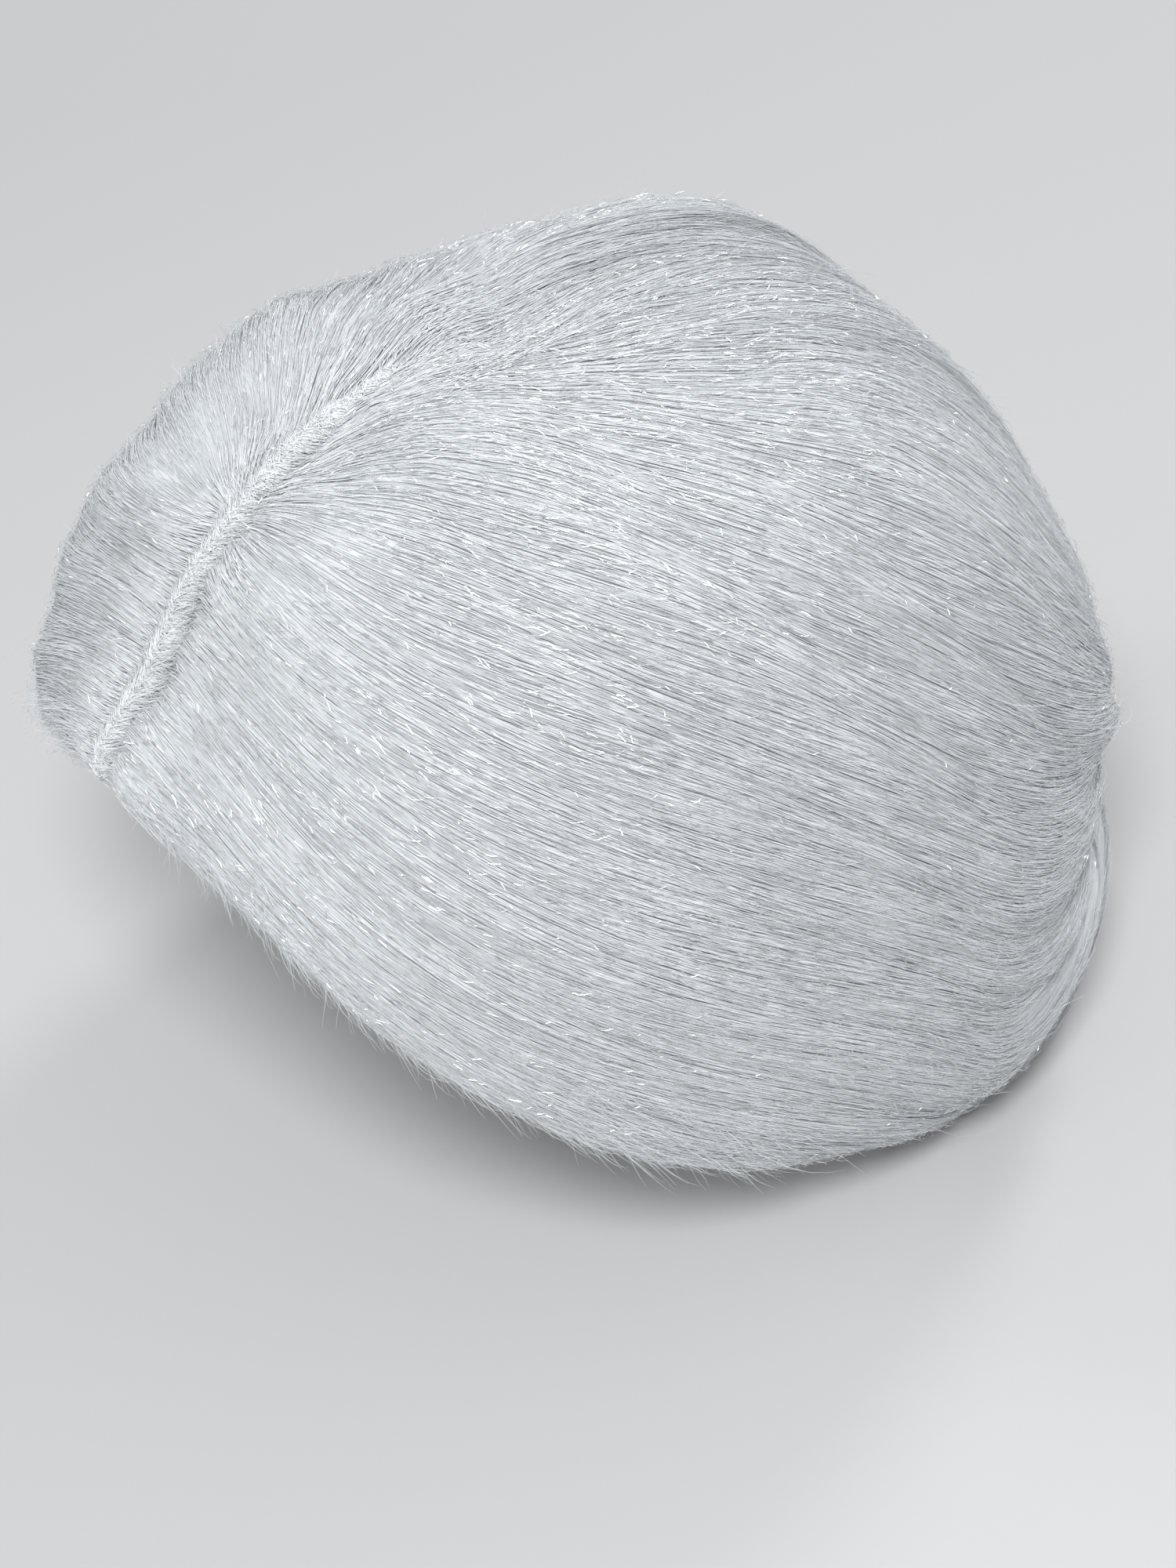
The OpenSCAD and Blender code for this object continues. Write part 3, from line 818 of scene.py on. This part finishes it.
def hem_fuzz(name, seed):
    """Short fibres round the cut edge, between the cloth and the pile's outside."""
    count = HEM_FUZZ
    rng = np.random.default_rng(SEED + seed)
    a0 = rng.uniform(-180, 180, count)
    sign = np.sign(a0 + 1e-6) * np.where(np.abs(a0) > 165, rng.choice([-1, 1], count), 1)
    share = rng.uniform(0, 1, count)
    u = np.linspace(0, 1, 5)[None]
    turn = (rng.uniform(3.0, 8.0, count) * sign)[:, None] * u
    a = a0[:, None] + turn
    fall = rng.uniform(-0.2, 1.5, (count, 1)) * u + rng.uniform(-1.2, 0.2, (count, 1))
    th = hem(a) + fall
    inner = head_r(a, hem(a)) + PILE_IN + 0.3
    outer = pile_r(a, hem(a) - 0.5)
    wild = 1 + 3 * bump(a0, -38, 26)[:, None]
    r = inner + (outer - inner) * share[:, None] + rng.uniform(-0.4, 1.4, (count, 1)) * wild * u ** 2
    path = CENTRE + aim(a, th) * r[..., None]
    path = path + (hem_form(path, a, th) - path) * share[:, None, None]
    path[..., 0] = path[..., 0] + np.sign(path[..., 0]) * SEAM_GAP * (np.abs(a) < 90)
    out = unit(path - CENTRE)
    width = taper(rng.uniform(0.09, 0.16, count), 5)
    tubes(name, path, out, width, np.clip(rng.normal(0.84, 0.07, count), 0, 1), PILE)


def seam_place(run, x, height):
    """Point beside the middle plane: run is the angle from the crown, negative towards the face."""
    a = np.where(run < 0, 0.0, 180.0)
    th = np.abs(run)
    cover = 1.1 * smooth((run + 24) / 16)
    r = pile_r(a, th) - 0.6 - cover + height + 0.2 * np.sin(run * 1.3) + 0.07 * np.sin(run * 3.1)
    sway = 0.35 * np.sin(run * 0.35) + 0.15 * np.sin(run * 1.1)
    p = hem_form(CENTRE + aim(a, th) * r[..., None], a, th)
    p[..., 0] = x + sway
    return p


RIDGE_R = 1.4
RIDGE_SINK = 1.5
RIDGE_COLS = 9
SEAM_FIBRES = 4200


def seam_ridge():
    """The raised pile along the centre seam: a narrow rolled ridge, wider at its foot."""
    run = np.linspace(-(hem(0.0) - 0.6), CREASE - 1, 260)
    turn = np.radians(np.linspace(-90, 90, RIDGE_COLS))
    swell = 1 + 0.45 * smooth((-run - (hem(0.0) - 10)) / 8)
    rows = []
    for x, height in zip(np.sin(turn) * RIDGE_R, np.cos(turn) * RIDGE_R - RIDGE_SINK):
        rows.append(seam_place(run, x * swell, height))
    top = np.stack(rows, 1)
    a = np.where(run < 0, 0.0, 180.0)[:, None]
    th = np.abs(run)[:, None]
    low = CENTRE + aim(a, th) * (head_r(a, th) + PILE_IN)[..., None]
    low = np.repeat(low, RIDGE_COLS, axis=1)
    low[..., 0] = np.linspace(-RIDGE_R, RIDGE_R, RIDGE_COLS)[None] * swell[:, None]
    body = shell("centre_seam_ridge", top, low, UNDER)
    streak = np.repeat(run[:, None] * 1.6, RIDGE_COLS, 1).ravel()
    value_on(body, "streak", np.concatenate([streak, streak]))
    value_on(body, "along", np.zeros(len(body.data.vertices)))
    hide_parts("centre_seam_pile")
    rng = np.random.default_rng(SEED + 90)
    count = SEAM_FIBRES
    for n in (1, 2):
        run = -(hem(0.0) - 0.4) + (hem(0.0) + 12) * rng.uniform(0, 1, count)
        side = rng.choice([-1.0, 1.0], count)
        u = np.linspace(0, 1, 5)[None]
        start = rng.uniform(-1.2, 0.8, count)
        reach = rng.uniform(1.4, 6.5, count)
        x = side[:, None] * (start[:, None] + reach[:, None] * u)
        arch = 0.2 - 1.3 * smooth((np.abs(x) - 0.6) / 3.2) + rng.uniform(-0.5, 0.7, (count, 1))
        arch = arch + 1.3 * rng.uniform(0, 1, (count, 1)) ** 3 * u
        lean = run[:, None] + (0.25 * reach[:, None] + rng.normal(0, 0.9, (count, 1))) * u
        path = seam_place(lean, x, arch)
        width = taper(rng.uniform(0.07, 0.13, count), 5)
        tubes(f"centre_seam_fibres_{n}", path, unit(path - CENTRE), width,
              np.clip(rng.normal(0.9, 0.06, count), 0, 1), SEAM)


pile_fibres()
seam_ridge()
glints()
flyaways()
hem_fuzz("hem_fuzz_1", 70)
hem_fuzz("hem_fuzz_2", 71)


# ---- the sewn cap ----
# flat sizes of the cut cloth in metres, and areas in square metres
# kind, the node it stands for, heights over the head, crumple, panel area, nape area
LAYERS = (("ground", "ground_fabric", GROUND, 0.08, 0.0322, 0.0091),
          ("lining", "lining", LINING, 0.16, 0.0312, 0.0088))


def cloth_layers():
    """Ground fabric and lining, each in three panels."""
    a, f = np.linspace(0, 180, 91), np.concatenate([[0.004], np.linspace(0.03, 1, 45)])
    nape_a, nape_f = np.linspace(NAPE_FROM, NAPE_TO, 75), np.linspace(0, 1, 14)
    for kind, node, (outside, inside), crumple, panel_area, nape_area in LAYERS:
        aa, ff = np.meshgrid(a, f)
        ripple = crumple * waves(aa, ff * 90, ((0.21, 0.1, 0.5), (0.57, 0.2, 0.5)), 3)
        outer = panel_grid(a, f, outside + ripple)
        inner = panel_grid(a, f, inside + ripple)
        for side, flip in SIDES:
            turn = np.array([flip, 1, 1])
            one, two = (outer * turn)[:, ::flip], (inner * turn)[:, ::flip]
            piece = shell(f"{side}_{kind}_cloth", one, two, CLOTH[kind])
            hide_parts(f"{side}_{node}")
        piece = shell(f"nape_{kind}_cloth", nape_grid(nape_a, nape_f, outside),
                      nape_grid(nape_a, nape_f, inside), CLOTH[kind])
        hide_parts(f"nape_{node}")


THREAD_R = 0.16
THREAD_SINK = 0.05
MM_PER_DEGREE = 1.7


def stitches(name, points, out):
    """A row of stitches: each is a short raised thread from one point to the next."""
    start, end = points[:-1], points[1:]
    u = np.linspace(0.08, 0.92, 5)[None, :, None]
    path = start[:, None] * (1 - u) + end[:, None] * u
    arch = np.sin(np.pi * np.linspace(0, 1, 5))[None, :, None]
    arch = arch * (THREAD_R + THREAD_SINK) - THREAD_SINK
    normal = out[:-1][:, None] * np.ones((1, 5, 1))
    path = path + normal * arch
    width = np.full((len(path), 5), THREAD_R)
    tubes(name, path, normal, width, np.full(len(path), 0.9), SEAM, sides=6)


def band_points(a, th, off, flip=1):
    """Points off above the head's surface: flip of -1 mirrors them."""
    p = CENTRE + aim(a, th) * (head_r(a, th) + off)[..., None]
    return p * np.array([flip, 1, 1])


BINDING_SPAN = 12 / MM_PER_DEGREE
BINDING_EDGE = 0.6


def face_bindings():
    """Tape inside the face edge, one length each side, sewn along both its edges."""
    a = np.linspace(1.5, 102, 140)
    share = np.linspace(0, 1, 9)
    aa, ss = np.meshgrid(a, share)
    th = hem(aa) - BINDING_SPAN + (BINDING_SPAN - BINDING_EDGE) * ss
    swell = 0.12 * np.sin(np.pi * ss)
    for side, flip in SIDES:
        outer = band_points(aa, th, 0.6, flip)[:, ::flip]
        inner = band_points(aa, th, 0.1 - swell, flip)[:, ::flip]
        piece = shell(f"{side}_binding_tape", outer, inner, CLOTH["tape"])
        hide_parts(f"{side}_face_binding")
        for n, share_at in enumerate((0.14, 0.86), 1):
            run = np.linspace(3, 100, 62)
            row = hem(run) - BINDING_SPAN + (BINDING_SPAN - BINDING_EDGE) * share_at
            p = band_points(run, row, 0.05, flip)
            stitches(f"{side}_binding_stitches_{n}", p, unit(CENTRE - p))


TAPE_HALF = 7
TAPE_ROW = 5.2


def tape_point(run, x, off):
    """Point beside the middle plane inside the cap: run is as in seam_place."""
    a = np.where(run < 0, 0.0, 180.0)
    p = CENTRE + aim(a, np.abs(run)) * (head_r(a, np.abs(run)) + off)[..., None]
    p[..., 0] = x
    return p


def seam_tape():
    """Tape over the seam allowances, with a zigzag row along each edge."""
    run = np.linspace(-(hem(0.0) - BINDING_SPAN - 0.6), CREASE + 8, 150)
    share = np.linspace(-1, 1, 9)
    rr, ss = np.meshgrid(run, share)
    ripple = 0.1 * np.sin(rr * 0.8 + ss * 2)
    outer = tape_point(rr, -ss * TAPE_HALF, 0.4 + 0.2 * ripple)
    inner = tape_point(rr, -ss * TAPE_HALF, -0.3 + 0.5 * ripple)
    piece = shell("centre_seam_tape_cloth", outer, inner, CLOTH["tape"])
    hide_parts("centre_seam_tape")
    for n, x in enumerate((-TAPE_ROW, TAPE_ROW), 1):
        at = np.linspace(-(hem(0.0) - BINDING_SPAN - 2), CREASE + 6, 96)
        zig = np.where(np.arange(96) % 2, 0.8, -0.8)
        p = tape_point(at, x + zig, -0.35)
        stitches(f"seam_tape_stitches_{n}", p, unit(CENTRE - p))


CASING_HALF = (9.8 / MM_PER_DEGREE) / 2
CASING_LIFT = 1.6


def nape_casing():
    """Gathered cotton sleeve round the elastic, open at both ends."""
    a = np.linspace(110, 250, 281)
    turn = np.radians(np.arange(24) * 15.0)
    aa, tt = np.meshgrid(a, turn, indexing="ij")
    middle = hem(aa) - CASING_LIFT - CASING_HALF
    gather = 0.16 * np.sin(aa * 3.1 + np.sin(aa * 0.9)) + 0.08 * np.sin(aa * 7.3)

    def ring(wall):
        half = CASING_HALF + wall * 0.6
        th = middle + half * np.sign(np.cos(tt)) * np.abs(np.cos(tt)) ** 0.5
        deep = (0.75 + wall) * np.sign(np.sin(tt)) * np.abs(np.sin(tt)) ** 0.7
        off = -1.0 + deep + gather * (np.sin(tt) < -0.2)
        return band_points(aa, th, off)

    outer, inner = ring(0.45), ring(0.0)
    rows, cols = outer.shape[:2]
    n = rows * cols
    j = np.arange(cols)
    j2 = (j + 1) % cols
    last = (rows - 1) * cols
    rims = np.concatenate([np.stack([j, n + j, n + j2, j2], -1),
                           np.stack([last + j, last + j2, n + last + j2, n + last + j], -1)])
    faces = np.concatenate([grid_faces(rows, cols, closed=True),
                            grid_faces(rows, cols, n, closed=True, flip=True), rims])
    verts = np.concatenate([outer.reshape(-1, 3), inner.reshape(-1, 3)])
    piece = put("nape_casing_cloth", verts, [faces], CLOTH["casing"])
    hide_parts("nape_casing")
    for n, edge in enumerate((-0.86, 0.86), 1):
        run = np.linspace(112, 248, 84)
        th = hem(run) - CASING_LIFT - CASING_HALF + CASING_HALF * edge
        p = band_points(run, th, -1.95)
        stitches(f"casing_stitches_{n}", p, unit(CENTRE - p))


cloth_layers()
face_bindings()
seam_tape()
nape_casing()


# ---- the adjusters: angles are from the back's middle ----
NAPE_AXIS = np.array([0, 14.0, -47.0])
PIN_IN = 76.5
WALL_SLOPE = 0.196
STRAP_HALF = 4.5
STRAP_THICK = 0.4
STRAP_SEWN = 61.5
STRAP_STEP, STRAP_RISE = 55.4, 1.6
BAR = 45.2


def nape_point(angle, r, z, flip):
    """Point on the sloping nape wall: angle from the back's middle, z up from the band's middle."""
    t = np.radians(angle)
    out = r + WALL_SLOPE * z
    return np.stack([flip * np.sin(t) * out, NAPE_AXIS[1] + np.cos(t) * out, NAPE_AXIS[2] + z], -1)


def strap(side, flip):
    """One ribbed elastic strap, from its sewn end on the lining to the slider's far bar."""
    run = np.linspace(STRAP_SEWN, BAR + 0.6, 60)
    middle = PIN_IN + STRAP_RISE * smooth((run - STRAP_STEP) / 1.9)
    cols = 20
    turn = np.radians(np.linspace(0, 360, cols, endpoint=False))
    loops = []
    for angle, r in zip(run, middle):
        z = np.sign(np.cos(turn)) * np.abs(np.cos(turn)) ** 0.35 * STRAP_HALF
        thick = STRAP_THICK * np.sign(np.sin(turn)) * np.abs(np.sin(turn)) ** 0.5
        rib = 0.05 * np.cos(z * 2 * np.pi / 1.1)
        loops.append(nape_point(np.full(cols, angle), r + thick + rib * np.sign(thick), z, flip))
    rows = len(loops)
    faces = grid_faces(rows, cols, closed=True, flip=flip > 0)
    ends = np.stack([np.arange(cols), (rows - 1) * cols + np.arange(cols)[::-1]])
    if flip < 0:
        ends = ends[:, ::-1]
    return put(f"{side}_elastic_strap", np.stack(loops), [faces, ends], CLOTH["elastic"],
               body=None)


def adjusters():
    """The straps, stretched from the cap to their sliders."""
    for side, flip in SIDES:
        piece = strap(side, flip)
        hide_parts(f"{side}_strap")
        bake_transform(piece)


def finish_cad(nodes):
    """Gives the frame's own pieces their cloth and metal."""
    finishes = {"loop_band": CLOTH["tape"], "strap_end": CLOTH["elastic"], "slider": NICKEL,
                "hook": NICKEL}
    for side, _ in SIDES:
        for kind, mat in finishes.items():
            nodes[f"{side}_{kind}"].material_slots[0].material = mat
    nodes["nape_elastic"].material_slots[0].material = CLOTH["elastic"]


adjusters()
finish_cad(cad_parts)


# ---- the studio: metres and degrees ----
CAMERA_PLACE = Vector((0.5217, -0.2744, 0.4769))
CAMERA_TARGET = Vector((0.0189, -0.0016, -0.0109))
CAMERA_ROLL = -10.27
CAMERA_LENS = 77.69
FLOOR_RINGS = (0.02, 0.6, 1.4, 3.0, 7.0, 18.0)
FLOOR_SIDES = 96
FLOOR_DROP = 0.0003
# name, azimuth, elevation, distance, size, watts
LIGHTS = (("key", 60, 52, 1.25, 0.34, 11.5),
          ("fill", 315, 34, 1.6, 0.5, 3.5),
          ("rim", 200, 40, 1.5, 0.4, 6))


def camera():
    cam = bpy.data.objects.new("camera", bpy.data.cameras.new("camera"))
    bpy.context.collection.objects.link(cam)
    look = (CAMERA_TARGET - CAMERA_PLACE).to_track_quat("-Z", "Y").to_matrix().to_4x4()
    roll = Matrix.Rotation(math.radians(CAMERA_ROLL), 4, "Z")
    cam.matrix_world = Matrix.Translation(CAMERA_PLACE) @ look @ roll
    cam.data.lens = CAMERA_LENS
    cam.data.sensor_width = 36
    cam.data.clip_end = 20
    bpy.context.scene.camera = cam


def area_light(name, azimuth, elevation, distance, size, power):
    """A round lamp aimed at the wig."""
    light = bpy.data.lights.new(name, "AREA")
    light.shape = "DISK"
    light.size = size
    light.energy = power
    ob = bpy.data.objects.new(name, light)
    bpy.context.collection.objects.link(ob)
    az, el = math.radians(azimuth), math.radians(elevation)
    out = Vector((math.sin(az) * math.cos(el), -math.cos(az) * math.cos(el), math.sin(el)))
    aimed = out.to_track_quat("Z", "Y").to_matrix().to_4x4()
    ob.matrix_world = Matrix.Translation(out * distance) @ aimed


def floor_paper():
    """Pale paper with painted shade: darker under the wig, paler further out."""
    mat, bsdf = new_material("floor_paper", Roughness=0.9)
    nt, add = node_tools(mat)
    place = add("ShaderNodeTexCoord")
    away = add("ShaderNodeVectorMath", operation="LENGTH")
    nt.links.new(place.outputs["Object"], away.inputs[0])
    reach = add("ShaderNodeMapRange")
    reach.inputs["From Min"].default_value = 0.5
    reach.inputs["From Max"].default_value = 2.2
    nt.links.new(away.outputs["Value"], reach.inputs["Value"])
    # painted shade: the floor's colour is darker near the wig and paler far from it
    mix = add("ShaderNodeMix", data_type="RGBA")
    mix.inputs["A"].default_value = (0.60, 0.60, 0.605, 1)
    mix.inputs["B"].default_value = (0.88, 0.90, 0.92, 1)
    nt.links.new(reach.outputs["Result"], mix.inputs["Factor"])
    nt.links.new(mix.outputs["Result"], bsdf.inputs["Base Color"])
    return mat


def studio(floor_z):
    """A round floor, an even pale world and three lamps."""
    turn = np.radians(np.arange(FLOOR_SIDES) * 360 / FLOOR_SIDES)
    rings = np.stack([np.outer(FLOOR_RINGS, np.cos(turn)), np.outer(FLOOR_RINGS, np.sin(turn)),
                      np.full((len(FLOOR_RINGS), FLOOR_SIDES), floor_z)], -1)
    faces = grid_faces(len(FLOOR_RINGS), FLOOR_SIDES, closed=True).tolist()
    me = bpy.data.meshes.new("floor")
    me.from_pydata(rings.reshape(-1, 3).tolist(), [], faces + [list(range(FLOOR_SIDES))])
    me.materials.append(floor_paper())
    floor = bpy.data.objects.new("floor", me)
    bpy.context.collection.objects.link(floor)
    world = bpy.data.worlds.new("studio")
    world.use_nodes = True
    sky = world.node_tree.nodes["Background"]
    sky.inputs["Color"].default_value = (0.92, 0.96, 1.0, 1)
    sky.inputs["Strength"].default_value = 0.455
    bpy.context.scene.world = world
    for lamp in LIGHTS:
        area_light(*lamp)
    bpy.context.scene.view_settings.view_transform = "Standard"


camera()
studio(REST_Z * MM - FLOOR_DROP)
